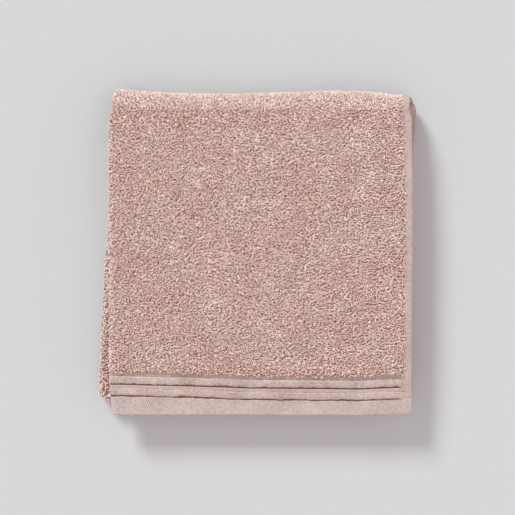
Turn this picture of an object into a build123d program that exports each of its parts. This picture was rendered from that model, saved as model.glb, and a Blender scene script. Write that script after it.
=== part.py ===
from build123d import *
import math
import os

# A terry bath towel, folded and lying flat. Millimetres, +Z up.
# It is folded in half along its length (fold at -X, the two side hems at +X), then in
# half across, then in half again, so four leaves of two plies lie on each other.
# The end hem of the top leaf faces -Y, and the last fold made is at +Y.
# Leaf 1 is the lowest. Along the cloth the order is: leaf 4, outer back fold, leaf 1,
# front fold, leaf 2, inner back fold, leaf 3.

# Driving dimensions
towel_width = 700.0        # cut width, hem to hem
towel_length = 1415.0      # cut length, end hem to end hem
ply = 4.65                 # one thickness of terry, pile on both faces
leaf_gap = 0.3             # air between two leaves
depth = 370.2              # folded size along Y, end hem to back fold
front_step = 23.1          # how far the front fold's crease stays behind the top end hem
side_hem_width = 10.0
side_hem_thick = 3.0
end_hem_width = 15.0
end_hem_thick = 3.0
rib_width = 8.7            # each raised band of the border
rib_thick = 3.6
rib_rounding = 1.2
channel_width = 5.0        # flat weave before each raised band
channel_thick = 1.4
base_shift = 3.5           # leaves 1 and 2 stand this far to +X of the flap at the back fold
base_lean = 14.3           # and lean this far to -X on their way to the front fold
stitch_length = 2.6
stitch_pitch = 3.6
stitch_wide = 0.6
stitch_high = 0.35
end_stitch_inset = 1.0     # from the end hem's inner edge to its row of stitches
side_stitch_inset = 4.0    # from the side hem's inner edge to its row
label_width = 35.0         # blank care label
label_length = 25.0
label_thick = 0.3
label_inset = 60.0         # from the side hem's edge to the label

# Worked-out sizes
leaf = 2 * ply
leaf_pitch = leaf + leaf_gap
height = 3 * leaf_pitch + leaf
flat_half = towel_width / 2 - math.pi * ply / 4      # flat width of a ply beside its fold
leaf_width = flat_half + ply
back_axis_z = height / 2                             # centre of the back folds
front_axis_z = leaf + leaf_gap / 2                   # centre of the front fold
crease_y = depth / 2 - back_axis_z                   # the leaves end here at the back
end_y = -depth / 2                                   # front edge of the top end hem
front_y = end_y + front_step                         # leaves 1 and 2 end here
border_width = 2 * channel_width + 2 * rib_width + end_hem_width

# The base reaches furthest left at the front and furthest right at the back.
flap_left = -(leaf_width + base_shift - (base_lean - base_shift)) / 2
base_left = flap_left + base_shift

# The inner end hem lies where the rest of the cut length puts it.
outer_back_length = math.pi * (back_axis_z - ply)
inner_back_length = math.pi * (ply + leaf_gap / 2)
front_fold_length = math.pi * (ply + leaf_gap / 2)
base_length = crease_y - front_y
used_length = (crease_y - end_y) + outer_back_length + inner_back_length
used_length += front_fold_length + 2 * base_length
inner_end_y = crease_y - (towel_length - used_length)

os.makedirs("parts", exist_ok=True)


def save(name, *solids):
    shape = solids[0] if len(solids) == 1 else Compound(children=list(solids))
    export_step(shape, f"parts/{name}.step")


def leaf_bottom(number):
    return (number - 1) * leaf_pitch


def box_section(x_from, x_to, z_from, z_to, y):
    """A rectangle across the leaf, standing at y."""
    middle = Pos((x_from + x_to) / 2, (z_from + z_to) / 2)
    section = Plane.XZ.offset(-y) * middle * Rectangle(x_to - x_from, z_to - z_from)
    return section.face()


def ply_section(left, bottom, upper, y):
    low = bottom + ply * upper
    return box_section(left + ply, left + leaf_width - side_hem_width, low, low + ply, y)


def side_hem_section(left, bottom, upper, y):
    low = bottom + ply * (upper + 0.5) - side_hem_thick / 2
    right = left + leaf_width
    return box_section(right - side_hem_width, right, low, low + side_hem_thick, y)


def fold_section(left, bottom, y):
    """The round of the lengthwise fold: half a disc as high as the leaf."""
    centre = Pos(left + ply, bottom + ply)
    half = Plane.XZ.offset(-y) * centre * (Circle(ply) - Pos(ply, 0) * Rectangle(2 * ply, 3 * ply))
    return half.face()


def run(section, length, lean=0.0):
    """Takes a section towards -Y, leaning sideways on the way."""
    return Solid.extrude(section, Vector(lean, -length, 0))


def turn(section, y, z, angle):
    """Takes a section round a fold whose centre line runs along X."""
    return Solid.revolve(section, angle, Axis((0, y, z), (1, 0, 0)))


def build_leaf(prefix, left, number, y_from, y_terry, y_hem, lean=0.0):
    """Two plies, the fold between them and their side hems, as separate pieces."""
    bottom = leaf_bottom(number)
    terry_length = y_from - y_terry
    for upper, side in enumerate(("lower", "upper")):
        cloth = ply_section(left, bottom, upper, y_from)
        hem = side_hem_section(left, bottom, upper, y_from)
        save(f"{prefix}_{side}_ply", run(cloth, terry_length, lean))
        save(f"{prefix}_{side}_side_hem", run(hem, y_from - y_hem, lean))
    save(f"{prefix}_length_fold", run(fold_section(left, bottom, y_from), terry_length, lean))


def build_wrap(prefix, left, number, y, z, angle):
    """The plies of a leaf carried round a fold, with their length fold and side hems."""
    bottom = leaf_bottom(number)
    hems = []
    for upper, side in enumerate(("outer", "inner")):
        save(f"{prefix}_{side}_ply", turn(ply_section(left, bottom, upper, y), y, z, angle))
        hems.append(turn(side_hem_section(left, bottom, upper, y), y, z, angle))
    save(f"{prefix}_length_fold", turn(fold_section(left, bottom, y), y, z, angle))
    save(f"{prefix}_side_hems", *hems)


def border_band(left, number, y_from, width, thick, rounding):
    """A band of the border: along the upper ply, round the length fold, back below."""
    right = left + leaf_width - side_hem_width
    middle = leaf_bottom(number) + ply
    low, high = middle - ply / 2, middle + ply / 2
    y = y_from - width / 2
    upper_run = Line((right, y, high), (left + ply, y, high))
    bend = ThreePointArc((left + ply, y, high), (left + ply / 2, y, middle), (left + ply, y, low))
    lower_run = Line((left + ply, y, low), (right, y, low))
    path = Wire([upper_run, bend, lower_run])
    start = Plane(origin=(right, y, high), x_dir=(0, 1, 0), z_dir=(-1, 0, 0))
    profile = RectangleRounded(width, thick, rounding) if rounding else Rectangle(width, thick)
    return sweep(start * profile, path=path).solid()


def build_border(prefix, left, number, y_end):
    """Flat channels, two raised bands and the turned end hem, from the terry outwards."""
    y = y_end + border_width
    channels = []
    for rib in (1, 2):
        channels.append(border_band(left, number, y, channel_width, channel_thick, 0))
        y -= channel_width
        band = border_band(left, number, y, rib_width, rib_thick, rib_rounding)
        save(f"{prefix}_rib_{rib}", band)
        y -= rib_width
    save(f"{prefix}_border_channels", *channels)
    save(f"{prefix}_end_hem", border_band(left, number, y, end_hem_width, end_hem_thick, 0))


def stitch_row(start, along, length, z_low):
    """Separate stitches lying on a hem, from start in the direction along X or Y."""
    count = int(length // stitch_pitch)
    size = (stitch_length, stitch_wide) if along == "X" else (stitch_wide, stitch_length)
    stitches = []
    for number in range(count):
        step = (number + 0.5) * stitch_pitch
        x = start[0] + (step if along == "X" else 0)
        y = start[1] + (step if along == "Y" else 0)
        spot = Pos(x, y, z_low + stitch_high / 2)
        stitches.append((spot * Box(size[0], size[1], stitch_high)).solid())
    return stitches


def hem_faces(number, thick, stitched):
    """Heights at which stitches start above the upper ply's hem and below the lower's."""
    bottom = leaf_bottom(number)
    above = bottom + 1.5 * ply + thick / 2
    below = bottom + 0.5 * ply - thick / 2 - stitched
    return above, below


def build_end_stitching(prefix, number, y_end):
    y = y_end + end_hem_width - end_stitch_inset
    start = (flap_left + ply, y)
    rows = []
    for z in hem_faces(number, end_hem_thick, stitch_high):
        rows += stitch_row(start, "X", flat_half - side_hem_width, z)
    save(f"{prefix}_end_hem_stitching", *rows)


def build_side_stitching(prefix, number, y_end):
    inner_edge = flap_left + leaf_width - side_hem_width
    start = (inner_edge + side_stitch_inset, y_end + end_hem_width)
    rows = []
    for z in hem_faces(number, side_hem_thick, stitch_high):
        rows += stitch_row(start, "Y", crease_y - leaf_gap - start[1], z)
    save(f"{prefix}_side_hem_stitching", *rows)


def build_label():
    """Sewn into the inner end hem's seam, lying back over the border."""
    below = hem_faces(3, rib_thick, label_thick)[1]
    x = flap_left + leaf_width - label_inset
    y = inner_end_y + end_hem_width + label_length / 2
    spot = Pos(x, y, below + label_thick / 2)
    save("care_label", spot * Box(label_width, label_length, label_thick))


# Leaves 1 and 2, joined at the front, stay down.
build_leaf("base_bottom", base_left, 1, crease_y, front_y, front_y, -base_lean)
build_leaf("base_top", base_left, 2, crease_y, front_y, front_y, -base_lean)
build_wrap("front_fold", base_left - base_lean, 1, front_y, front_axis_z, -180)

# Leaves 3 and 4 are the flap that opens about the back fold.
flap_back = crease_y - leaf_gap
for prefix, number, y_end in (("flap_inner", 3, inner_end_y), ("flap_outer", 4, end_y)):
    build_leaf(prefix, flap_left, number, flap_back, y_end + border_width, y_end)
    build_border(prefix, flap_left, number, y_end)
    build_end_stitching(prefix, number, y_end)
    build_side_stitching(prefix, number, y_end)
build_label()

# The back folds bend when the flap opens.
build_wrap("back_fold_outside", flap_left, 1, crease_y, back_axis_z, 180)
build_wrap("back_fold_inside", flap_left, 2, crease_y, back_axis_z, 180)

print("height", round(height, 2), "back crease", round(crease_y, 2), "inner end", round(inner_end_y, 2))
print("flap left", round(flap_left, 2), "right", round(flap_left + leaf_width, 2))
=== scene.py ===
import math
import bpy
import numpy as np
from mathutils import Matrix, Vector


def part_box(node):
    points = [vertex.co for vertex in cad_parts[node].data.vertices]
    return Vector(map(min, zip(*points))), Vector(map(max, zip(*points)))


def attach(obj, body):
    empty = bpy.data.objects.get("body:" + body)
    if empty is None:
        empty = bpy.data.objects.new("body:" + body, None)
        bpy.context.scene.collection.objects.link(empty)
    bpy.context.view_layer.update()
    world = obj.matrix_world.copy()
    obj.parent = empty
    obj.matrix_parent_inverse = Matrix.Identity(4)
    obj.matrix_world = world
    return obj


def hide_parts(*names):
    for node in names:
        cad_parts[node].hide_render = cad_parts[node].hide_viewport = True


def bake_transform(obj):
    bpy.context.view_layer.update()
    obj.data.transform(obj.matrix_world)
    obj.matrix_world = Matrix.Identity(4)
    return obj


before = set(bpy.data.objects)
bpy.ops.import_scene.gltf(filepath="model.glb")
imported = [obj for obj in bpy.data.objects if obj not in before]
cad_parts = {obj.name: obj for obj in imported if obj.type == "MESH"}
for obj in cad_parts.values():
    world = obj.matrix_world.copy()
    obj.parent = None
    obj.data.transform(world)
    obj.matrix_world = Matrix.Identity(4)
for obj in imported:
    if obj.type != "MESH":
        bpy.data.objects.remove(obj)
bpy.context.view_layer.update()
mm = 0.001

# The towel is worked out flat, as it was cut, and then folded by one function.
# across runs from the upper ply's side hem, round the lengthwise fold, to the lower ply's side hem.
# along runs from the top end hem over the outer back fold, down and round to the inner end hem.
# rise is the height over the middle of the cloth, outwards.


def spanOf(node, axis):
    low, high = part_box(node)
    return low[axis], high[axis]


def readFold():
    ply = spanOf("flap_outer_upper_ply", 2)
    crease = spanOf("base_top_upper_ply", 1)
    baseFold = spanOf("base_bottom_length_fold", 0)
    thick = ply[1] - ply[0]
    leaves = ("base_bottom", "base_top", "flap_inner", "flap_outer")
    return {
        "ply": thick,
        "top": ply[1],
        "middles": [spanOf(f"{leaf}_lower_ply", 2)[1] for leaf in leaves],
        "creaseY": crease[1],
        "frontY": crease[0],
        "endY": spanOf("flap_outer_end_hem", 1)[0],
        "innerEndY": spanOf("flap_inner_end_hem", 1)[0],
        "left": spanOf("flap_outer_length_fold", 0)[0],
        "right": spanOf("flap_outer_upper_side_hem", 0)[1],
        "baseShift": baseFold[1] - thick - spanOf("flap_outer_length_fold", 0)[0],
        "baseLean": baseFold[1] - thick - baseFold[0],
        "hemWidth": spanOf("flap_outer_upper_side_hem", 0)[1] - spanOf("flap_outer_upper_ply", 0)[1],
        "terryEnd": spanOf("flap_outer_upper_ply", 1)[0] - spanOf("flap_outer_end_hem", 1)[0],
    }


fold = readFold()
lowest, second, third, highest = fold["middles"]
halfPly = fold["ply"] / 2
backAxisZ = (highest + lowest) / 2
frontAxisZ = (lowest + second) / 2
outerRadius = highest - backAxisZ
innerRadius = third - backAxisZ
frontRadius = (second - lowest) / 2
flatPly = fold["right"] - fold["left"] - fold["ply"]      # from the side hem's edge to the fold's centre
foldArc = math.pi * halfPly
clothWidth = 2 * flatPly + foldArc
baseLength = fold["creaseY"] - fold["frontY"]

# where each stretch of the cloth starts, along the towel
topStart = 0.0
outerBack = fold["creaseY"] - fold["endY"]
bottomStart = outerBack + math.pi * outerRadius
frontFold = bottomStart + baseLength
secondStart = frontFold + math.pi * frontRadius
innerBack = secondStart + baseLength
thirdStart = innerBack + math.pi * innerRadius
clothLength = thirdStart + fold["creaseY"] - fold["innerEndY"]
print("cloth", round(clothWidth, 4), "by", round(clothLength, 4))


def ease(value, start, end):
    share = np.clip((value - start) / (end - start), 0, 1)
    return share * share * (3 - 2 * share)


def smoothNoise(x, y, cell, seed):      # soft noise from -1 to 1 with hills about a cell wide
    table = np.random.default_rng(seed).uniform(-1, 1, (64, 64))
    gx, gy = np.asarray(x) / cell + 31.4, np.asarray(y) / cell + 17.2
    ix, iy = np.floor(gx).astype(int), np.floor(gy).astype(int)
    fx, fy = gx - ix, gy - iy
    fx, fy = fx * fx * (3 - 2 * fx), fy * fy * (3 - 2 * fy)
    near = table[ix % 64, iy % 64] * (1 - fx) + table[(ix + 1) % 64, iy % 64] * fx
    far = table[ix % 64, (iy + 1) % 64] * (1 - fx) + table[(ix + 1) % 64, (iy + 1) % 64] * fx
    return near * (1 - fy) + far * fy


drape = {
    # how far the back fold stands out from a straight line, from left to right
    "backX": [-0.172, -0.164, -0.135, -0.078, -0.020, 0.037, 0.095, 0.135, 0.158, 0.180],
    "backOut": [0.0070, 0.0070, 0.0036, 0.0010, 0.0009, 0.0026, 0.0046, 0.0027, -0.0002, -0.0010],
    "innerWave": 0.6,           # the fold inside it has this share of its wave
    # how far the top border's bands and the hem's edge stand back from a straight line
    "bandX": [-0.172, -0.160, -0.078, -0.009, 0.060, 0.118, 0.155, 0.178],
    "bandBack": [0.0057, 0.0056, 0.0036, 0.0012, 0.0006, 0.0000, 0.0017, 0.0022],
    "edgeBack": [-0.0025, -0.0025, -0.0024, -0.0022, -0.0026, -0.0030, -0.0020, -0.0004],
    # sideways shift of the cloth at its two ends and at each fold, added to the frame's own
    "sideShift": [0.0006, -0.0008, 0.0030, -0.0036, -0.0036, 0.0030, 0.0012, -0.0015],
    "hemPull": 0.0014,          # the top leaf's side hem lies a little further in at its front
    "hemCornerPull": 0.0034,    # and again at the back fold
    "baseBow": 0.0022,          # the lower leaves' left edge bows out half-way along
    "cornerPull": 0.0028,       # the left corner of the back fold draws in
    "endPull": 0.0018,          # and so does the left corner of the end hem
    "frontPull": 0.0110,        # the left corner of the front fold is cut off by its own round
    "frontReach": 0.0042,       # and reaches forward
    "backPress": 0.18,          # share of its height the stack loses towards the back fold
    "backPressFrom": 0.050,     # and how far before the fold that starts
    "topDrop": 0.0040,          # the thin border lets the top leaf sink
    "topDropShare": 0.25,       # less so under the raised bands, which are thicker
    "hemDroop": 0.0028,         # and its free edge hang
    "innerDrop": 0.0012,
    "borderClose": 0.25,        # and its two plies close up
    "surfaceWave": 0.0013,
    "waves": [(0.7, 0.075, 5), (0.4, 0.035, 6), (0.3, 0.016, 7)],      # share, size and seed of its hills
    "edgeWander": 0.0007,
    "edgeWanderLength": 0.045,
    "floorGap": 0.00005,        # what lies on the floor is pressed flat
}

fades = {
    # across the towel, from its middle: where a shape starts to show, and where it is full
    "leftSide": (0.08, 0.17),
    "rightSide": (0.10, 0.178),
    "leftCorner": (0.10, 0.172),
    "hemPull": (0.05, 0.25),
    # along the cloth, the same against the end or fold it belongs to
    "topBorder": (-0.012, 0.004),
    "thirdBorder": (-0.004, 0.012),
    "thirdDrop": (-0.05, -0.03),
    "topDrop": (0.02, 0.075),
    "topDropEase": (0, 0.04),
    "bands": (0, 0.07),
    "edge": (0, 0.015),
    "endPull": (0, 0.018),
    "reachIn": (-0.022, 0),
    "reachOut": (0, 0.022),
    "roundIn": (-0.004, 0.010),
    "roundOut": (-0.010, 0.004),
    "cornerIn": (-0.024, 0.012),
    "cornerOut": (-0.012, 0.03),
    "hemCornerIn": (-0.014, 0.006),
    "hemCornerOut": (0.02, 0.045),
}


def fadeAt(value, place, name):
    return ease(value, place + fades[name][0], place + fades[name][1])


def spine(along):
    # middle of the two plies in the Y-Z plane, and the direction of the upper ply
    y, z = np.zeros_like(along), np.zeros_like(along)
    ny, nz = np.zeros_like(along), np.zeros_like(along)

    def straight(start, end, yStart, step, height, up):
        on = (along >= start) & (along <= end)
        y[on] = yStart + step * (along[on] - start)
        z[on], ny[on], nz[on] = height, 0, up

    def bend(start, end, yCentre, zCentre, radius, side, lift):
        on = (along > start) & (along < end)
        turn = (along[on] - start) / radius
        ny[on], nz[on] = side * np.sin(turn), lift * np.cos(turn)
        y[on] = yCentre + radius * ny[on]
        z[on] = zCentre + radius * nz[on]

    straight(-1, outerBack, fold["endY"] - 1, 1, highest, 1)
    straight(bottomStart, frontFold, fold["creaseY"], -1, lowest, -1)
    straight(secondStart, innerBack, fold["frontY"], 1, second, 1)
    straight(thirdStart, 3, fold["creaseY"], -1, third, -1)
    bend(outerBack, bottomStart, fold["creaseY"], backAxisZ, outerRadius, 1, 1)
    bend(frontFold, secondStart, fold["frontY"], frontAxisZ, frontRadius, -1, -1)
    bend(innerBack, thirdStart, fold["creaseY"], backAxisZ, innerRadius, 1, -1)
    inner = (along > innerBack) & (along < thirdStart)      # here the upper ply is the inner one
    ny[inner], nz[inner] = -ny[inner], -nz[inner]
    return y, z, ny, nz


def foldPoints(across, along, rise):
    across, along, rise = (np.asarray(q, float) for q in np.broadcast_arrays(across, along, rise))
    y, z, ny, nz = spine(along)
    turn = np.clip((across - flatPly) / halfPly, 0, math.pi)
    over = np.where(across < flatPly, flatPly - across, np.maximum(across - flatPly - foldArc, 0))
    x = fold["right"] - flatPly + over - (halfPly + rise) * np.sin(turn)
    inBorder = fadeAt(-along, -fold["terryEnd"], "topBorder")
    inBorder += fadeAt(along, clothLength - fold["terryEnd"], "thirdBorder")
    height = (halfPly * (1 - drape["borderClose"] * inBorder) + rise) * np.cos(turn)
    y = y + ny * height
    z = z + nz * height

    # the lower leaves lean, and every edge wanders a little
    stops = [0, outerBack, bottomStart, frontFold, secondStart, innerBack, thirdStart, clothLength]
    back, front = fold["baseShift"], fold["baseShift"] - fold["baseLean"]
    x = x + np.interp(along, stops, np.array([0, 0, back, front, front, back, 0, 0]) + drape["sideShift"])
    leftSide = fadeAt(-x, 0, "leftSide")
    rightSide = fadeAt(x, 0, "rightSide")
    side = np.where(across < clothWidth / 2, 0.0, 1.0)
    wander = smoothNoise(along, side, drape["edgeWanderLength"], 11)
    x = x + drape["edgeWander"] * wander * np.maximum(leftSide, rightSide)
    x = x + drape["endPull"] * (1 - fadeAt(along, 0, "endPull")) * leftSide
    x = x - drape["hemPull"] * rightSide * (1 - fadeAt(along, 0, "hemPull"))
    onBase = np.clip((along - bottomStart) / baseLength, 0, 1)
    onBase = onBase * np.clip((innerBack - along) / baseLength, 0, 1)
    x = x - drape["baseBow"] * np.sin(math.pi * onBase) * leftSide
    onFront = fadeAt(along, frontFold, "reachIn") * (1 - fadeAt(along, secondStart, "reachOut"))
    y = y - drape["frontReach"] * onFront * leftSide
    onRound = fadeAt(along, frontFold, "roundIn") * (1 - fadeAt(along, secondStart, "roundOut"))
    x = x + drape["frontPull"] * onRound * leftSide
    onBack = fadeAt(along, outerBack, "cornerIn") * (1 - fadeAt(along, bottomStart, "cornerOut"))
    x = x + drape["cornerPull"] * onBack * fadeAt(-x, 0, "leftCorner")
    onCorner = fadeAt(along, outerBack, "hemCornerIn") * (1 - fadeAt(along, outerBack, "hemCornerOut"))
    x = x - drape["hemCornerPull"] * onCorner * rightSide

    # the back fold's wave, less on the fold inside it; the leaves themselves keep their crease
    wave = np.interp(x, drape["backX"], drape["backOut"])
    outer = np.sin(math.pi * np.clip((along - outerBack) / (bottomStart - outerBack), 0, 1))
    inner = np.sin(math.pi * np.clip((along - innerBack) / (thirdStart - innerBack), 0, 1))
    y = y + wave * (outer + drape["innerWave"] * inner)

    # the top border's bands and edge
    bandWeight = 1 - fadeAt(along, fold["terryEnd"], "bands")
    bands = np.interp(x, drape["bandX"], drape["bandBack"])
    edge = np.interp(x, drape["bandX"], drape["edgeBack"])
    y = y + bandWeight * (edge + (bands - edge) * fadeAt(along, 0, "edge"))

    # the leaves sink where the border is thin, and the whole stack waves gently
    level = np.clip(z / fold["top"], 0, 1.2)
    onTop = (along < outerBack) * (1 - fadeAt(along, 0, "topDrop"))
    onThird = (along > thirdStart) * fadeAt(along, clothLength, "thirdDrop")
    z = z - drape["topDrop"] * onTop * (1 - drape["topDropShare"] * fadeAt(along, 0, "topDropEase"))
    pressed = drape["backPress"] * ease(y, fold["creaseY"] - drape["backPressFrom"], fold["creaseY"])
    z = backAxisZ + (z - backAxisZ) * (1 - pressed)
    z = z - drape["hemDroop"] * (along < outerBack) * ease(-y, -fold["frontY"], -fold["endY"])
    z = z - drape["innerDrop"] * onThird
    swell = sum(share * smoothNoise(x, y, size, seed) for share, size, seed in drape["waves"])
    z = z + drape["surfaceWave"] * swell * level
    return np.stack([x, y, np.maximum(z, drape["floorGap"])], -1)


def linear(hexColour):
    parts = [int(hexColour[i:i + 2], 16) / 255 for i in (1, 3, 5)]
    return [c / 12.92 if c <= 0.04045 else ((c + 0.055) / 1.055) ** 2.4 for c in parts] + [1.0]


def addNode(tree, kind, settings=None, links=None):
    node = tree.nodes.new(kind)
    for key, value in (settings or {}).items():
        if isinstance(key, str) and hasattr(node, key):
            setattr(node, key, value)
        else:
            node.inputs[key].default_value = value
    for key, socket in (links or {}).items():
        tree.links.new(socket, node.inputs[key])
    return node


def newMaterial(name, sheen):
    # cotton is matt; its fuzz gives a little bloom at grazing angles
    material = bpy.data.materials.new(name)
    material.use_nodes = True
    tree = material.node_tree
    tree.nodes.clear()
    shader = addNode(tree, "ShaderNodeBsdfPrincipled", {
        "IOR": 1.53, "Specular IOR Level": 0.25, "Sheen Weight": sheen, "Sheen Roughness": 0.5})
    addNode(tree, "ShaderNodeOutputMaterial", None, {"Surface": shader.outputs["BSDF"]})
    return material, tree, shader


loopFinish = {
    "sheen": 0.3,
    "deep": "#e4b4a9",         # where the dye took well
    "pale": "#fff2eb",         # and where the fibre ends stand up
    "dyeDrift": 35 * mm,       # size of the soft lighter and darker patches
    "yarn": 1.3 * mm,          # the dye changes from one loop to the next
    "yarnShare": 0.8,
}


def makeLoopCotton():
    # ring-spun cotton yarn, dyed dusty pink and left in loops: matt, softly fuzzy, uneven between loops
    material, tree, shader = newMaterial("ringSpunCottonLoops", loopFinish["sheen"])
    place = addNode(tree, "ShaderNodeTexCoord").outputs["Object"]
    dyeing = addNode(tree, "ShaderNodeTexNoise", {"Scale": 1 / loopFinish["dyeDrift"], "Detail": 3.0},
                     {"Vector": place})
    yarn = addNode(tree, "ShaderNodeTexNoise", {"Scale": 1 / loopFinish["yarn"], "Detail": 1.0},
                   {"Vector": place})
    both = addNode(tree, "ShaderNodeMix", {"data_type": "FLOAT", "Factor": loopFinish["yarnShare"]},
                   {"A": dyeing.outputs["Fac"], "B": yarn.outputs["Fac"]})
    shade = addNode(tree, "ShaderNodeMapRange", {"From Min": 0.37, "From Max": 0.63},
                    {"Value": both.outputs["Result"]})
    colour = addNode(tree, "ShaderNodeMix", {
        "data_type": "RGBA", 6: linear(loopFinish["deep"]), 7: linear(loopFinish["pale"])},
        {0: shade.outputs["Result"]})
    # paler fibre ends catch slightly more light than the deep-dyed yarn between them
    dull = addNode(tree, "ShaderNodeMapRange", {"To Min": 0.97, "To Max": 0.85},
                   {"Value": both.outputs["Result"]})
    tree.links.new(colour.outputs[2], shader.inputs["Base Color"])
    tree.links.new(dull.outputs["Result"], shader.inputs["Roughness"])
    return material


clothFinishes = {
    # weave holds the pitches over the flat cloth in metres, across and along; 0 leaves that way out.
    # all are drawn some two to five times coarser than threads half a millimetre apart, so that they show.
    # share is how much of the shade the weave makes; slubs and uneven dye make the rest.
    "groundClothInPaintedShade": {      # painted shade: the ground between the loops is coloured a deep pink for the shade the pile casts into it
        "dark": "#875b50", "light": "#ab7f73", "weave": (1.0 * mm, 1.0 * mm),
        "crossed": True, "share": 0.5, "bump": 0.2 * mm},
    "foldedSideHemWeave": {         # a pale, smooth strip with a fine square grain
        "dark": "#a78f87", "light": "#d1bcb5", "weave": (2.0 * mm, 2.4 * mm),
        "crossed": True, "share": 0.35, "bump": 0.25 * mm},
    "paddedRaisedBand": {           # soft fullness, its grain only faint
        "dark": "#a48c85", "light": "#d6c3bd", "weave": (1.8 * mm, 1.8 * mm),
        "crossed": True, "share": 0.25, "bump": 0.35 * mm},
    "flatBorderWeaveInPaintedShade": {            # the sunken lines between the bands, coloured a shade deeper as painted shade from the pile and bands over them
        "dark": "#a78b82", "light": "#d2bbb3", "weave": (1.6 * mm, 1.6 * mm),
        "crossed": True, "share": 0.35, "bump": 0.2 * mm},
    "turnedTwillHem": {             # fine slanting lines along the towel's end
        "dark": "#ab948e", "light": "#dac9c4", "weave": (2.6 * mm, 2.6 * mm),
        "crossed": False, "share": 0.31, "bump": 0.3 * mm},
    "spunSewingThread": {           # small pale dashes with a twist
        "dark": "#bfa69d", "light": "#e3d0c9", "weave": (0.9 * mm, 0.9 * mm),
        "crossed": False, "share": 0.4, "bump": 0.1 * mm},
    "wovenSatinLabel": {            # smooth off-white with a faint rib
        "dark": "#dedad2", "light": "#f3f0ea", "weave": (1.2 * mm, 0),
        "crossed": False, "share": 0.3, "bump": 0.08 * mm},
}


def makeFlatCotton(name):
    # flat weave: no loops, so it looks paler and smoother than the terry in the same dye
    finish = clothFinishes[name]
    material, tree, shader = newMaterial(name, 0.15)
    flat = addNode(tree, "ShaderNodeUVMap", {"uv_map": "flatCloth"})
    way = addNode(tree, "ShaderNodeSeparateXYZ", None, {"Vector": flat.outputs["UV"]})
    acrossTurns, alongTurns = [2 * math.pi / pitch if pitch else 0 for pitch in finish["weave"]]
    across = addNode(tree, "ShaderNodeMath", {"operation": "MULTIPLY", 1: acrossTurns},
                     {0: way.outputs["X"]})
    if finish["crossed"]:      # warp and weft show as two sets of stripes
        along = addNode(tree, "ShaderNodeMath", {"operation": "MULTIPLY", 1: alongTurns},
                        {0: way.outputs["Y"]})
        warp = addNode(tree, "ShaderNodeMath", {"operation": "SINE"}, {0: across.outputs[0]})
        weft = addNode(tree, "ShaderNodeMath", {"operation": "SINE"}, {0: along.outputs[0]})
        threads = addNode(tree, "ShaderNodeMath", {"operation": "ADD"},
                          {0: warp.outputs[0], 1: weft.outputs[0]})
    else:                      # twill's single set runs slantwise
        slant = addNode(tree, "ShaderNodeMath", {"operation": "MULTIPLY_ADD", 1: alongTurns},
                        {0: way.outputs["Y"], 2: across.outputs[0]})
        threads = addNode(tree, "ShaderNodeMath", {"operation": "SINE"}, {0: slant.outputs[0]})
    size = 2 if finish["crossed"] else 1
    pattern = addNode(tree, "ShaderNodeMapRange", {"From Min": -size, "From Max": size},
                      {"Value": threads.outputs[0]})
    # slubs are the yarn's thick places, about 3 mm long; the dye drifts over a few centimetres
    place = addNode(tree, "ShaderNodeTexCoord").outputs["Object"]
    slubs = addNode(tree, "ShaderNodeTexNoise", {"Scale": 1 / (3 * mm), "Detail": 3.0}, {"Vector": place})
    dyeing = addNode(tree, "ShaderNodeTexNoise", {"Scale": 1 / (25 * mm), "Detail": 2.0}, {"Vector": place})
    uneven = addNode(tree, "ShaderNodeMix", {"data_type": "FLOAT", "Factor": 0.4},
                     {"A": slubs.outputs["Fac"], "B": dyeing.outputs["Fac"]})
    both = addNode(tree, "ShaderNodeMix", {"data_type": "FLOAT", "Factor": finish["share"]},
                   {"A": uneven.outputs["Result"], "B": pattern.outputs["Result"]})
    shade = addNode(tree, "ShaderNodeMapRange", {"From Min": 0.34, "From Max": 0.66},
                    {"Value": both.outputs["Result"]})
    colour = addNode(tree, "ShaderNodeMix", {
        "data_type": "RGBA", 6: linear(finish["dark"]), 7: linear(finish["light"])},
        {0: shade.outputs["Result"]})
    dull = addNode(tree, "ShaderNodeMapRange", {"To Min": 0.95, "To Max": 0.75},
                   {"Value": both.outputs["Result"]})
    bump = addNode(tree, "ShaderNodeBump", {"Strength": 0.6, "Distance": finish["bump"]},
                   {"Height": both.outputs["Result"]})
    tree.links.new(colour.outputs[2], shader.inputs["Base Color"])
    tree.links.new(dull.outputs["Result"], shader.inputs["Roughness"])
    tree.links.new(bump.outputs["Normal"], shader.inputs["Normal"])
    return material


loopCotton = makeLoopCotton()
# the ground cloth's deep pink is painted shade, for the shade between the loops and in the gaps before the
# raised bands
paintedShadeGroundCotton = makeFlatCotton("groundClothInPaintedShade")
sideHemCotton = makeFlatCotton("foldedSideHemWeave")
bandCotton = makeFlatCotton("paddedRaisedBand")
# the flat weave of the sunken lines is coloured deeper as painted shade
channelPaintedShadeCotton = makeFlatCotton("flatBorderWeaveInPaintedShade")
twillCotton = makeFlatCotton("turnedTwillHem")
threadCotton = makeFlatCotton("spunSewingThread")
labelSatin = makeFlatCotton("wovenSatinLabel")
print("materials done")


def addClothMap(mesh, across, along):      # the flat towel's own coordinates, in metres
    corners = np.empty(len(mesh.loops), np.int32)
    mesh.loops.foreach_get("vertex_index", corners)
    layer = mesh.uv_layers.new(name="flatCloth")
    layer.data.foreach_set("uv", np.stack([across[corners], along[corners]], -1).astype(np.float32).ravel())


def spaced(*runs):      # stops along the cloth: (from, to, step) runs laid end to end
    parts = [np.linspace(a, b, max(2, round((b - a) / step) + 1)) for a, b, step in runs]
    return np.concatenate([parts[0]] + [part[1:] for part in parts[1:]])


def acrossStops(start, end, flatStep, foldStep):
    foldEnd = flatPly + foldArc
    return spaced((start, flatPly, flatStep), (flatPly, foldEnd, foldStep), (foldEnd, end, flatStep))


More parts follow.
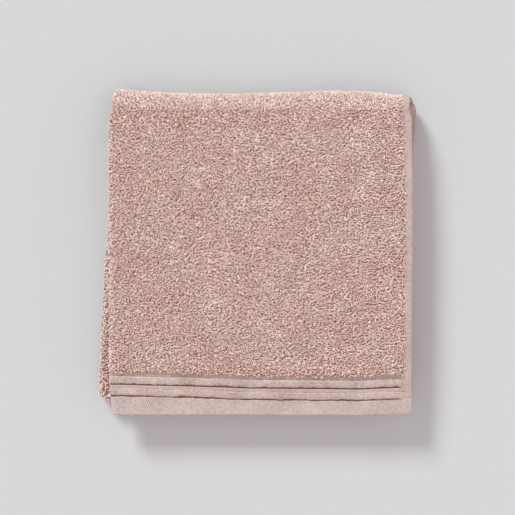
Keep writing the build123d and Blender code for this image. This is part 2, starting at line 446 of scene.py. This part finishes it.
def foldedSheet(name, acrossAt, alongAt, thick, rise, material):
    # a flat grid of cloth, folded, then given its thickness
    bpy.ops.object.select_all(action="DESELECT")
    bpy.ops.mesh.primitive_grid_add(x_subdivisions=len(acrossAt) - 1, y_subdivisions=len(alongAt) - 1, size=1)
    piece = bpy.context.object
    piece.name = piece.data.name = name
    flat = np.empty(len(piece.data.vertices) * 3, np.float32)
    piece.data.vertices.foreach_get("co", flat)
    flat = flat.reshape(-1, 3) + 0.5
    across = acrossAt[np.round(flat[:, 0] * (len(acrossAt) - 1)).astype(int)]
    along = alongAt[np.round(flat[:, 1] * (len(alongAt) - 1)).astype(int)]
    points = foldPoints(across, along, rise)
    piece.data.vertices.foreach_set("co", points.astype(np.float32).ravel())
    for layer in list(piece.data.uv_layers):
        piece.data.uv_layers.remove(layer)
    addClothMap(piece.data, across, along)
    piece.data.update()
    wall = piece.modifiers.new("thickness", "SOLIDIFY")
    wall.thickness, wall.offset = thick, 0
    bpy.ops.object.modifier_apply(modifier="thickness")
    bpy.ops.object.shade_smooth()
    piece.data.materials.append(material)
    return piece


def sweptBand(name, bands, material):
    # closed bands of cloth: each is a ring of (across, along, rise) points at every stop of its run
    points, faces, flat = [], [], []
    first = 0
    for across, along, rise in bands:
        rows, ring = across.shape
        points.append(foldPoints(across, along, rise).reshape(-1, 3))
        flat.append(np.stack([across.ravel(), along.ravel()]))
        for here in range(first, first + (rows - 1) * ring, ring):
            there = here + ring
            for k in range(ring):
                after = (k + 1) % ring
                faces.append((here + k, here + after, there + after, there + k))
        faces.append(tuple(range(first + ring - 1, first - 1, -1)))
        faces.append(tuple(range(first + (rows - 1) * ring, first + rows * ring)))
        first += rows * ring
    mesh = bpy.data.meshes.new(name)
    mesh.from_pydata(np.concatenate(points).tolist(), [], faces)
    addClothMap(mesh, *np.concatenate(flat, axis=1))
    mesh.materials.append(material)
    piece = bpy.data.objects.new(name, mesh)
    bpy.context.scene.collection.objects.link(piece)
    bpy.ops.object.select_all(action="DESELECT")
    piece.select_set(True)
    bpy.context.view_layer.objects.active = piece
    bpy.ops.object.mode_set(mode="EDIT")
    bpy.ops.mesh.select_all(action="SELECT")
    bpy.ops.mesh.normals_make_consistent(inside=False)
    bpy.ops.object.mode_set(mode="OBJECT")
    bpy.ops.object.shade_smooth_by_angle(angle=math.radians(50))
    return piece


def roundedRing(section):
    # a flattened ring, from 0 to its width one way and from low to high the other
    turn = (np.arange(section["ring"]) + 0.5) * 2 * math.pi / section["ring"]
    c, s = np.cos(turn), np.sin(turn)
    side = 0.5 + 0.5 * np.sign(c) * np.abs(c) ** section["square"]
    lift = 0.5 + 0.5 * np.sign(s) * np.abs(s) ** section["square"]
    return side * section["width"], section["low"] + lift * (section["high"] - section["low"])


bends = {
    # how far below and above the hinge a back fold's cloth is fully with the base, and with the flap
    "outer_back": (1 - drape["backPress"]) * (backAxisZ - spanOf("base_bottom_upper_ply", 2)[1]),
    "inner_back": (1 - drape["backPress"]) * fold["ply"],
}


def settle(piece, body, replaced=()):
    # rides on one body, or, on a back fold, stays on no body with its placement put into its points
    if body in bends:
        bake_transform(piece)
    else:
        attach(piece, body)
    if replaced:
        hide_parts(*replaced)
    return piece


def terryNodes(prefix, *sides):
    return [f"{prefix}_{side}_ply" for side in sides] + [f"{prefix}_length_fold"]


def hemNodes(*prefixes):
    return [f"{prefix}_{side}_side_hem" for prefix in prefixes for side in ("lower", "upper")]


hem, terry = fold["hemWidth"], fold["terryEnd"]
terryStop = clothLength - terry

clothGap = 0.5 * mm      # between the ground cloth of a leaf and of a back fold, so that they can turn
pileGap = 1.5 * mm       # and as much more for the leaf's pile; the back fold's own pile covers it

# the five stretches of cloth between the folds, with the body each one goes with
stretches = {
    "top": {"body": "flap", "span": (topStart, outerBack), "terry": (terry, outerBack - clothGap),
            "step": 9 * mm, "nodes": terryNodes("flap_outer", "lower", "upper"),
            "hems": hemNodes("flap_outer")},
    "outer_back": {"body": "outer_back", "span": (outerBack, bottomStart), "terry": (outerBack, bottomStart),
                   "step": 1.5 * mm, "nodes": terryNodes("back_fold_outside", "inner", "outer"),
                   "hems": ["back_fold_outside_side_hems"]},
    "base": {"body": "base", "span": (bottomStart, innerBack),
             "terry": (bottomStart + clothGap, innerBack - clothGap), "step": 9 * mm,
             "nodes": terryNodes("base_bottom", "lower", "upper") + terryNodes("base_top", "lower", "upper")
             + terryNodes("front_fold", "inner", "outer"),
             "hems": hemNodes("base_bottom", "base_top") + ["front_fold_side_hems"]},
    "inner_back": {"body": "inner_back", "span": (innerBack, thirdStart), "terry": (innerBack, thirdStart),
                   "step": 0.8 * mm, "nodes": terryNodes("back_fold_inside", "inner", "outer"),
                   "hems": ["back_fold_inside_side_hems"]},
    "third": {"body": "flap", "span": (thirdStart, clothLength), "terry": (thirdStart + clothGap, terryStop),
              "step": 9 * mm, "nodes": terryNodes("flap_inner", "lower", "upper"),
              "hems": hemNodes("flap_inner")},
}


def alongStops(name, span, step):
    start, end = span
    if name == "base":
        return spaced((start, frontFold, step), (frontFold, secondStart, 1 * mm), (secondStart, end, step))
    return spaced((start, end, step))


ground = {
    "thick": 2.6 * mm,
    "edge": hem - 1 * mm,      # it runs a little way into the side hem
    "flatStep": 9 * mm,
    "foldStep": 1.3 * mm,
}

for name, stretch in stretches.items():
    acrossAt = acrossStops(ground["edge"], clothWidth - ground["edge"],
                           ground["flatStep"], ground["foldStep"])
    alongAt = alongStops(name, stretch["terry"], stretch["step"])
    cloth = foldedSheet(f"{name}_cloth", acrossAt, alongAt, ground["thick"], 0, paintedShadeGroundCotton)
    settle(cloth, stretch["body"], stretch["nodes"])
print("ground cloth done")


sideHem = {
    "width": hem + 0.6 * mm,      # it runs a little way under the pile
    "low": -1.35 * mm,
    "high": 1.35 * mm,
    "ring": 14,
    "square": 0.42,
    "step": 3.2 * mm,
    "pucker": 0.16 * mm,
    "puckerLength": 5 * mm,
    "underEndHem": 0.75,          # how far it is pressed together inside the end hem
}


def sideHemBands(alongAt):
    offset, rise = roundedRing(sideHem)
    bands = []
    for edge in (0, 1):
        across = np.broadcast_to(clothWidth - offset if edge else offset, (len(alongAt), len(offset)))
        along = np.broadcast_to(alongAt[:, None], across.shape)
        pucker = smoothNoise(along, edge, sideHem["puckerLength"], 31)
        pucker = 1 + sideHem["pucker"] / sideHem["high"] * pucker
        fromEnd = np.minimum(along, clothLength - along)
        hemEdge = border["hem"]["width"]
        inEndHem = 1 - ease(fromEnd, hemEdge - 2 * mm, hemEdge + 1 * mm)
        pressed = 1 - (1 - sideHem["underEndHem"]) * inEndHem
        bands.append((across, along, rise[None, :] * pucker * pressed))
    return bands


def borderSize(node):
    low, high = spanOf(node, 1)
    return low - fold["endY"], high - low


border = {
    "rib": {"width": borderSize("flap_outer_rib_1")[1], "low": -1.7 * mm, "high": 2.1 * mm, "ring": 16,
            "square": 0.5},
    "hem": {"width": borderSize("flap_outer_end_hem")[1], "low": -1.25 * mm, "high": 1.2 * mm, "ring": 20,
            "square": 0.3},
    "channel": {"width": 5 * mm, "low": -1.2 * mm, "high": 0.1 * mm, "ring": 12, "square": 0.4},
    "channelRaise": 1.5 * mm,      # the flat weave is fuller between the two raised bands
    "ribStarts": {1: borderSize("flap_outer_rib_1")[0], 2: borderSize("flap_outer_rib_2")[0]},
    "slot": {1: 1.5 * mm, 2: 1.2 * mm},      # the dark gap in front of each raised band
    "inset": hem - 1 * mm,
    "step": 1.6 * mm,
    "foldStep": 0.8 * mm,
    "groundThick": 1.0 * mm,
    "groundSink": -0.9 * mm,
    "wander": 0.45 * mm,
    "notch": 1.4 * mm,      # how deep the raised band's front edge is nicked
    "hemEdgeWander": 0.4 * mm,
    "cornerThick": 1.5,     # the end hem is thicker where it is turned over the side hems
}


def bandAcross(section, start, acrossAt, wander, lift, atEnd):
    # the ring points of one band that runs across the towel, round the lengthwise fold and back
    offset, rise = roundedRing(section)
    along = start + offset[None, :] + wander
    across = np.broadcast_to(acrossAt[:, None], along.shape)
    return [(across, clothLength - along if atEnd else along, rise[None, :] * lift[:, None])]


def ribBand(number, atEnd):
    section, inset = border["rib"], border["inset"]
    acrossAt = acrossStops(inset, clothWidth - inset, border["step"], border["foldStep"])
    offset = roundedRing(section)[0]
    fromEnd = np.minimum(acrossAt - inset, clothWidth - inset - acrossAt)
    frontEdge = (offset < section["width"] / 2)[None, :]
    nicks = np.maximum(0, smoothNoise(acrossAt, number, 4.5 * mm, 50 + number) - 0.1) * border["notch"]
    nicks += border["wander"] * smoothNoise(acrossAt, number, 3.5 * mm, 55 + number)
    closed = border["slot"][number] * (1 - ease(fromEnd, 2 * mm, 7 * mm))      # the gap closes at the ends
    along = border["wander"] * smoothNoise(acrossAt, number, 16 * mm, 60 + number)[:, None]
    along = along + frontEdge * (nicks * ease(fromEnd, 4 * mm, 9 * mm) - closed)[:, None]
    lift = 1 + 0.10 * smoothNoise(acrossAt, number, 9 * mm, 65 + number)
    lift += 0.16 * smoothNoise(acrossAt, number, 3.6 * mm, 67 + number)
    lift *= 0.55 + 0.45 * ease(fromEnd, 0, 6 * mm)
    return bandAcross(section, border["ribStarts"][number], acrossAt, along, lift, atEnd)


def channelBands(atEnd):
    bands = []
    for number in (1, 2):
        ribEnd = border["ribStarts"][number] + border["rib"]["width"] - 0.8 * mm
        nextStart = terry + 2 * mm if number == 1 else border["ribStarts"][1] - border["slot"][1]
        section = {**border["channel"], "width": nextStart - ribEnd}
        section["high"] += (number - 1) * border["channelRaise"]
        acrossAt = acrossStops(border["inset"], clothWidth - border["inset"], 3 * mm, border["foldStep"])
        lift = 1 + 0.12 * smoothNoise(acrossAt, number, 10 * mm, 70 + number)
        bands += bandAcross(section, ribEnd, acrossAt, np.zeros((len(acrossAt), 1)), lift, atEnd)
    return bands


def endHemBand(atEnd):
    section = {**border["hem"], "width": border["hem"]["width"] - border["slot"][2]}
    acrossAt = acrossStops(0.4 * mm, clothWidth - 0.4 * mm, border["step"], border["foldStep"])
    offset = roundedRing(section)[0]
    front = (offset < section["width"] / 2)[None, :]
    fromEnd = np.minimum(acrossAt, clothWidth - acrossAt)
    edge = border["hemEdgeWander"] * smoothNoise(acrossAt, 0, 16 * mm, 47)
    seam = border["wander"] * smoothNoise(acrossAt, 0, 6 * mm, 49)
    along = np.where(front, edge[:, None], seam[:, None])
    lift = 1 + 0.10 * smoothNoise(acrossAt, 0, 12 * mm, 48)
    lift *= 1 + (border["cornerThick"] - 1) * (1 - ease(fromEnd, hem - 1 * mm, hem + 2.5 * mm))
    return bandAcross(section, 0, acrossAt, along, lift, atEnd)


for name, stretch in stretches.items():
    alongAt = alongStops(name, stretch["span"], min(stretch["step"], sideHem["step"]))
    hems = sweptBand(f"{name}_side_hems", sideHemBands(alongAt), sideHemCotton)
    stretch["onIt"] = [settle(hems, stretch["body"], stretch["hems"])]

borderEnds = (("top", "flap_outer", False), ("third", "flap_inner", True))
for name, prefix, atEnd in borderEnds:
    made = stretches[name]["onIt"]
    for number in (1, 2):
        rib = sweptBand(f"{name}_rib_{number}", ribBand(number, atEnd), bandCotton)
        made.append(settle(rib, "flap", [f"{prefix}_rib_{number}"]))
    endHem = sweptBand(f"{name}_end_hem", endHemBand(atEnd), twillCotton)
    made.append(settle(endHem, "flap", [f"{prefix}_end_hem"]))
    channels = sweptBand(f"{name}_border_channels", channelBands(atEnd), channelPaintedShadeCotton)
    made.append(settle(channels, "flap", [f"{prefix}_border_channels"]))
    alongAt = spaced((border["hem"]["width"] - 3 * mm, terry + 2 * mm, 2 * mm))
    acrossAt = acrossStops(border["inset"], clothWidth - border["inset"], 4 * mm, border["foldStep"])
    backing = foldedSheet(f"{name}_border_ground", acrossAt, clothLength - alongAt if atEnd else alongAt,
                          border["groundThick"], border["groundSink"], paintedShadeGroundCotton)
    made.append(settle(backing, "flap"))
print("hems and borders done")


pile = {
    # the loops are drawn coarser than real ones, so that each one shows
    "archRadius": 1.45 * mm,
    "yarnRadius": 0.51 * mm,
    "rowStep": 1.66 * mm,        # between weft rows
    "loopStep": 1.9 * mm,        # between loops in a row
    "jitter": 0.26,              # how far a loop strays from its place, against those steps
    "height": 0.92,              # how tall an arch stands, against its own radius
    "root": 0.75 * mm,           # where it leaves the ground
    "fray": 1.2 * mm,            # how far loops hang over the pile's edges
    "spread": (0.5, 0.95),       # how freely they turn out of the row, by the side hem and by the fold
    "uneven": 0.36,              # how much taller or shorter than its neighbours a loop may be
    "tallest": 1.7,
    "shortest": 0.35,
    "widths": (0.7, 1.25),       # narrowest and widest arch
    "lean": 0.7,
    "curl": 190,                 # how sharply an arch curves sideways, per metre
    "maxTriangles": 190000,
}


def makeLoop(segments):
    # half a ring of yarn, standing on its two cut ends
    bpy.ops.object.select_all(action="DESELECT")
    bpy.ops.mesh.primitive_torus_add(major_radius=pile["archRadius"], minor_radius=pile["yarnRadius"],
                                     major_segments=segments, minor_segments=3)
    loop = bpy.context.object
    bpy.ops.object.mode_set(mode="EDIT")
    bpy.ops.mesh.select_all(action="SELECT")
    bpy.ops.mesh.bisect(plane_co=(0, 0, 0), plane_no=(0, 1, 0), clear_inner=True)
    bpy.ops.object.mode_set(mode="OBJECT")
    points = np.array([v.co for v in loop.data.vertices])[:, [0, 2, 1]]
    faces = np.array([list(p.vertices) for p in loop.data.polygons])[:, ::-1]
    bpy.data.objects.remove(loop)
    print("loop of", len(points), "points and", len(faces), "faces")
    return points, faces


fineLoop = makeLoop(8)
plainLoop = makeLoop(6)


def meshFromArrays(name, points, faces, material):
    mesh = bpy.data.meshes.new(name)
    mesh.vertices.add(len(points))
    mesh.vertices.foreach_set("co", points.astype(np.float32).ravel())
    mesh.loops.add(faces.size)
    mesh.loops.foreach_set("vertex_index", faces.astype(np.int32).ravel())
    mesh.polygons.add(len(faces))
    mesh.polygons.foreach_set("loop_start", np.arange(0, faces.size, faces.shape[1], dtype=np.int32))
    mesh.polygons.foreach_set("use_smooth", np.ones(len(faces), bool))
    mesh.update(calc_edges=True)
    mesh.materials.append(material)
    piece = bpy.data.objects.new(name, mesh)
    bpy.context.scene.collection.objects.link(piece)
    return piece


def copyLoops(name, points, loop, material):
    # joins the placed loops into as few meshes as the triangle limit allows
    loopPoints, loopFaces = loop
    parts = math.ceil(len(points) * 2 * len(loopFaces) / pile["maxTriangles"])
    pieces = []
    for number, chosen in enumerate(np.array_split(points, parts)):
        faces = loopFaces[None] + (np.arange(len(chosen)) * len(loopPoints))[:, None, None]
        partName = name if parts == 1 else f"{name}_{number + 1}"
        pieces.append(meshFromArrays(partName, chosen.reshape(-1, 3), faces.reshape(-1, 4), material))
    print(name, len(points), "loops in", parts, "pieces,", len(points) * 2 * len(loopFaces), "triangles")
    return pieces


def pileSpots(spec, density, rng):
    stepA, stepB = pile["loopStep"] / math.sqrt(density), pile["rowStep"] / math.sqrt(density)
    inRow = np.arange(spec["across"][0] + stepA / 2, spec["across"][1], stepA)
    rows = np.arange(spec["along"][0] + stepB / 2, spec["along"][1], stepB)
    across, along = np.meshgrid(inRow, rows)
    across = across + np.where(np.arange(len(rows)) % 2 == 0, 0.25, -0.25)[:, None] * stepA
    across = across.ravel() + rng.normal(0, pile["jitter"], across.size) * stepA
    along = along.ravel() + rng.normal(0, pile["jitter"], along.size) * stepB
    fray = pile["fray"] * rng.uniform(0, 1, across.size)
    across = np.clip(across, spec["across"][0] - fray, spec["across"][1] + 0.3 * fray)
    return across, np.clip(along, spec["along"][0] - fray * spec.get("loose", 0), spec["along"][1])


def growLoops(spec):
    # one leaning, curling copy of the loop at each place of the weave
    seed, density, face = spec["seed"], spec.get("density", 1.0), spec.get("face", 1)
    rng = np.random.default_rng(seed)
    across, along = pileSpots(spec, density, rng)
    count = len(across)
    coarser = density ** -0.35      # thinner rows have wider loops
    spread = np.interp(across, [0, flatPly], pile["spread"])
    turn = 0.6 * smoothNoise(across, along, 11 * mm, seed + 1) + rng.normal(0, 1, count) * spread
    tall = 1 + 0.20 * smoothNoise(across, along, 6 * mm, seed + 3)      # pressed tufts
    tall = tall + 0.05 * smoothNoise(across, along, 25 * mm, seed + 5)
    tall = tall + rng.normal(0, spec.get("uneven", pile["uneven"]), count)
    tall = np.clip(tall, pile["shortest"], pile["tallest"]) * spec.get("tall", 1.0) * pile["height"]
    size = rng.uniform(*pile["widths"], count) * coarser
    lean = rng.normal(0, pile["lean"], count) + 0.4 * smoothNoise(across, along, 8 * mm, seed + 4)
    curl = rng.normal(0, pile["curl"], count)
    px, py, pz = (spec.get("loop", fineLoop)[0][:, i][None, :] for i in range(3))
    x = px * size[:, None]
    z = pz * tall[:, None]
    y = py * coarser + lean[:, None] * z
    y = y + curl[:, None] * (x * x - 0.4 * pile["archRadius"] ** 2)
    c, s = np.cos(turn)[:, None], np.sin(turn)[:, None]
    rise = spec.get("root", pile["root"]) + z
    return foldPoints(across[:, None] + x * c - y * s, along[:, None] + x * s + y * c, face * rise)


stitch = {
    "pitch": 3.6 * mm,
    "length": 2.4 * mm,
    "thick": 0.5 * mm,
    "arch": 0.16,                # each stitch is the loop pulled flat
    "sunk": 0.1 * mm,
    "endInset": 1.3 * mm,        # from the end hem's inner edge
    "sideInset": 4.0 * mm,       # from the side hem's inner edge
}


def stitchLine(acrossAt, alongAt, turned, surface):
    px, py, pz = (fineLoop[0][:, i] for i in range(3))
    px = px * stitch["length"] / 2 / (pile["archRadius"] + pile["yarnRadius"])
    py = py * stitch["thick"] / 2 / pile["yarnRadius"]
    dx, dy = (py, px) if turned else (px, py)
    rise = surface - stitch["sunk"] + pz * stitch["arch"]
    return foldPoints(acrossAt[:, None] + dx, alongAt[:, None] + dy, rise[None, :])


for name, prefix, atEnd in borderEnds:
    acrossAt = np.arange(hem + 3 * mm, clothWidth - hem - 3 * mm, stitch["pitch"])
    seamAt = border["hem"]["width"] - border["slot"][2] - stitch["endInset"]
    alongAt = np.full(len(acrossAt), clothLength - seamAt if atEnd else seamAt)
    rows = {"end": stitchLine(acrossAt, alongAt, False, border["hem"]["high"])}
    start, end = stretches[name]["span"]
    alongAt = np.arange(start, end, stitch["pitch"])
    fromEnd = np.minimum(alongAt, clothLength - alongAt)
    alongAt = alongAt[fromEnd > border["hem"]["width"] + 1 * mm]
    sideAt = hem - stitch["sideInset"]
    rows["side"] = np.concatenate([
        stitchLine(np.full(len(alongAt), seamAcross), alongAt, True, sideHem["high"])
        for seamAcross in (sideAt, clothWidth - sideAt)])
    for which, points in rows.items():
        seam = f"{which}_hem_stitching"
        for piece in copyLoops(f"{name}_{seam}", points, fineLoop, threadCotton):
            stretches[name]["onIt"].append(settle(piece, "flap", [f"{prefix}_{seam}"]))
print("stitching done")


label = {
    "thick": 0.3 * mm,
    "step": 2 * mm,
    "rise": 2.4 * mm,      # it lies on the raised band
}
labelLow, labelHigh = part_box("care_label")
labelWidth, labelLength = labelHigh[0] - labelLow[0], labelHigh[1] - labelLow[1]
labelAcross = fold["right"] - labelHigh[0]
labelAlong = clothLength - (labelLow[1] - fold["innerEndY"])
careLabel = foldedSheet("sewn_care_label", spaced((labelAcross, labelAcross + labelWidth, label["step"])),
                        spaced((labelAlong - labelLength, labelAlong, label["step"])),
                        label["thick"], label["rise"], labelSatin)
settle(careLabel, "flap", ["care_label"])
print("label done")


# full pile stands on the faces in view; what only shows when opened is much thinner, and the underside barest
onFace = (ground["edge"], flatPly)
roundFold = (flatPly, flatPly + foldArc + 7 * mm)
wholeFold = (ground["edge"], roundFold[1])
topRun = (terry, outerBack - pileGap)
backRun = (outerBack - pileGap, bottomStart + pileGap)
bottomRun = (bottomStart + pileGap, frontFold)
secondRun = (secondStart, innerBack - pileGap)
thirdRun = (thirdStart + pileGap, terryStop)
inside = {"density": 0.36, "loop": plainLoop}
pressedFlat = {"tall": 0.6, "root": 0.5 * mm, "density": 0.1, "loop": plainLoop}
tuckedIn = {"tall": 0.6, "root": 0.6 * mm, **inside}
piles = {
    "top_pile": ("top", {"across": onFace, "along": topRun, "seed": 101, "loose": 1,
                         "density": 1.33, "loop": plainLoop}),
    "top_fold_pile": ("top", {"across": roundFold, "along": topRun, "seed": 111}),
    # denser and evener here than elsewhere, only because it then looks paler and smoother
    "back_pile": ("outer_back", {"across": wholeFold, "along": backRun, "seed": 121,
                                 "density": 2.1, "uneven": 0.08, "loop": plainLoop}),
    "underside_pile": ("base", {"across": onFace, "along": bottomRun, "seed": 131, **pressedFlat}),
    "bottom_fold_pile": ("base", {"across": roundFold, "along": bottomRun, "seed": 141, "loop": plainLoop}),
    "front_fold_pile": ("base", {"across": wholeFold, "along": (frontFold, secondStart), "seed": 151,
                                 "loop": plainLoop}),
    "second_pile": ("base", {"across": onFace, "along": secondRun, "seed": 161, **inside}),
    "second_fold_pile": ("base", {"across": roundFold, "along": secondRun, "seed": 171, "loop": plainLoop}),
    "inner_back_pile": ("inner_back", {"across": wholeFold, "along": (innerBack, thirdStart), "seed": 181,
                                       **tuckedIn}),
    "third_pile": ("third", {"across": onFace, "along": thirdRun, "seed": 191, **inside}),
    "third_fold_pile": ("third", {"across": roundFold, "along": thirdRun, "seed": 201, "loop": plainLoop}),
}
for name, (stretch, spec) in piles.items():
    for piece in copyLoops(name, growLoops(spec), spec.get("loop", fineLoop), loopCotton):
        stretches[stretch]["onIt"].append(settle(piece, stretches[stretch]["body"]))

# short rows beside the side hems, where the gaps between the plies can be looked into
edgeLoops = {"width": 5 * mm, "density": 0.6, "loop": plainLoop, "seed": 211}
upperRow = (ground["edge"], ground["edge"] + edgeLoops["width"])
lowerRow = (clothWidth - ground["edge"] - edgeLoops["width"], clothWidth - ground["edge"])
for name, stretch in stretches.items():
    rows = []
    for number, (across, face) in enumerate(((upperRow, -1), (lowerRow, 1), (lowerRow, -1))):
        rows.append(growLoops({**edgeLoops, "across": across, "along": stretch["terry"],
                               "seed": edgeLoops["seed"] + number, "face": face}))
    for piece in copyLoops(f"{name}_edge_pile", np.concatenate(rows), plainLoop, loopCotton):
        stretch["onIt"].append(settle(piece, stretch["body"]))

for name, stretch in stretches.items():
    start, end = stretch["terry"]
print("pile done")


stage = {
    "floorSize": 60.0,
    "wallColour": "#d6d6d7",      # the far wall, as light as the floor
    "floorDrop": 0.2 * mm,
    "floorColour": "#cececf",
    "toLight": (-1.08, 1.75, 1.0),
    "keyStrength": 2.97,
    "keyColour": (0.91, 1.05, 1.04),
    "keySoftness": 15.0,
    "fill": 0.70,
    "fillColour": (1.055, 0.97, 0.975),      # daylight is cooler than what the room sends back
    "fillFrom": (0.5, -0.85, 0.0),           # a white board opposite the window lifts the shadows
    "fillShare": 0.8,
    "lens": 85.0,
    "sensor": 36.0,
    "frameWidth": 0.5928,      # what the frame takes in at the towel's top
    "aimY": -0.0053,
}


def makeFloor():
    bpy.ops.object.select_all(action="DESELECT")
    bpy.ops.mesh.primitive_plane_add(size=stage["floorSize"], location=(0, 0, -stage["floorDrop"]))
    floor = bpy.context.object
    floor.name = "studioFloor"
    material = bpy.data.materials.new("mattPaintedBoard")      # even and pale, with no glints
    material.use_nodes = True
    shader = material.node_tree.nodes["Principled BSDF"]
    shader.inputs["Base Color"].default_value = linear(stage["floorColour"])
    shader.inputs["Roughness"].default_value = 0.9
    shader.inputs["Specular IOR Level"].default_value = 0.1
    floor.data.materials.append(material)


def makeLight():
    lamp = bpy.data.lights.new("windowKey", "SUN")
    lamp.energy = stage["keyStrength"]
    lamp.angle = math.radians(stage["keySoftness"])
    lamp.color = stage["keyColour"]
    holder = bpy.data.objects.new("windowKey", lamp)
    bpy.context.scene.collection.objects.link(holder)
    holder.rotation_euler = Vector(stage["toLight"]).to_track_quat("Z", "Y").to_euler()
    world = bpy.data.worlds.new("studio")
    bpy.context.scene.world = world
    world.use_nodes = True
    tree = world.node_tree
    fill = tree.nodes["Background"]
    fill.inputs["Color"].default_value = (*stage["fillColour"], 1)
    place = addNode(tree, "ShaderNodeTexCoord")
    toBoard = addNode(tree, "ShaderNodeVectorMath", {"operation": "DOT_PRODUCT", 1: stage["fillFrom"]},
                      {0: place.outputs["Generated"]})
    strength = addNode(tree, "ShaderNodeMapRange", {
        "From Min": -1, "From Max": 1, "To Min": stage["fill"] * (1 - stage["fillShare"]),
        "To Max": stage["fill"] * (1 + stage["fillShare"])}, {"Value": toBoard.outputs["Value"]})
    tree.links.new(strength.outputs["Result"], fill.inputs["Strength"])
    seen = addNode(tree, "ShaderNodeLightPath")
    wall = addNode(tree, "ShaderNodeBackground", {"Color": linear(stage["wallColour"])})
    both = addNode(tree, "ShaderNodeMixShader", None, {
        "Fac": seen.outputs["Is Camera Ray"], 1: fill.outputs[0], 2: wall.outputs[0]})
    tree.links.new(both.outputs["Shader"], tree.nodes["World Output"].inputs["Surface"])


def makeCamera():
    camera = bpy.data.cameras.new("overhead")
    camera.lens, camera.sensor_width = stage["lens"], stage["sensor"]
    holder = bpy.data.objects.new("overhead", camera)
    bpy.context.scene.collection.objects.link(holder)
    distance = stage["frameWidth"] * stage["lens"] / stage["sensor"]
    holder.location = (0, stage["aimY"], fold["top"] + distance)
    bpy.context.scene.camera = holder


makeFloor()
makeLight()
makeCamera()
bpy.context.scene.view_settings.view_transform = "Standard"
print("floor, light and camera done")
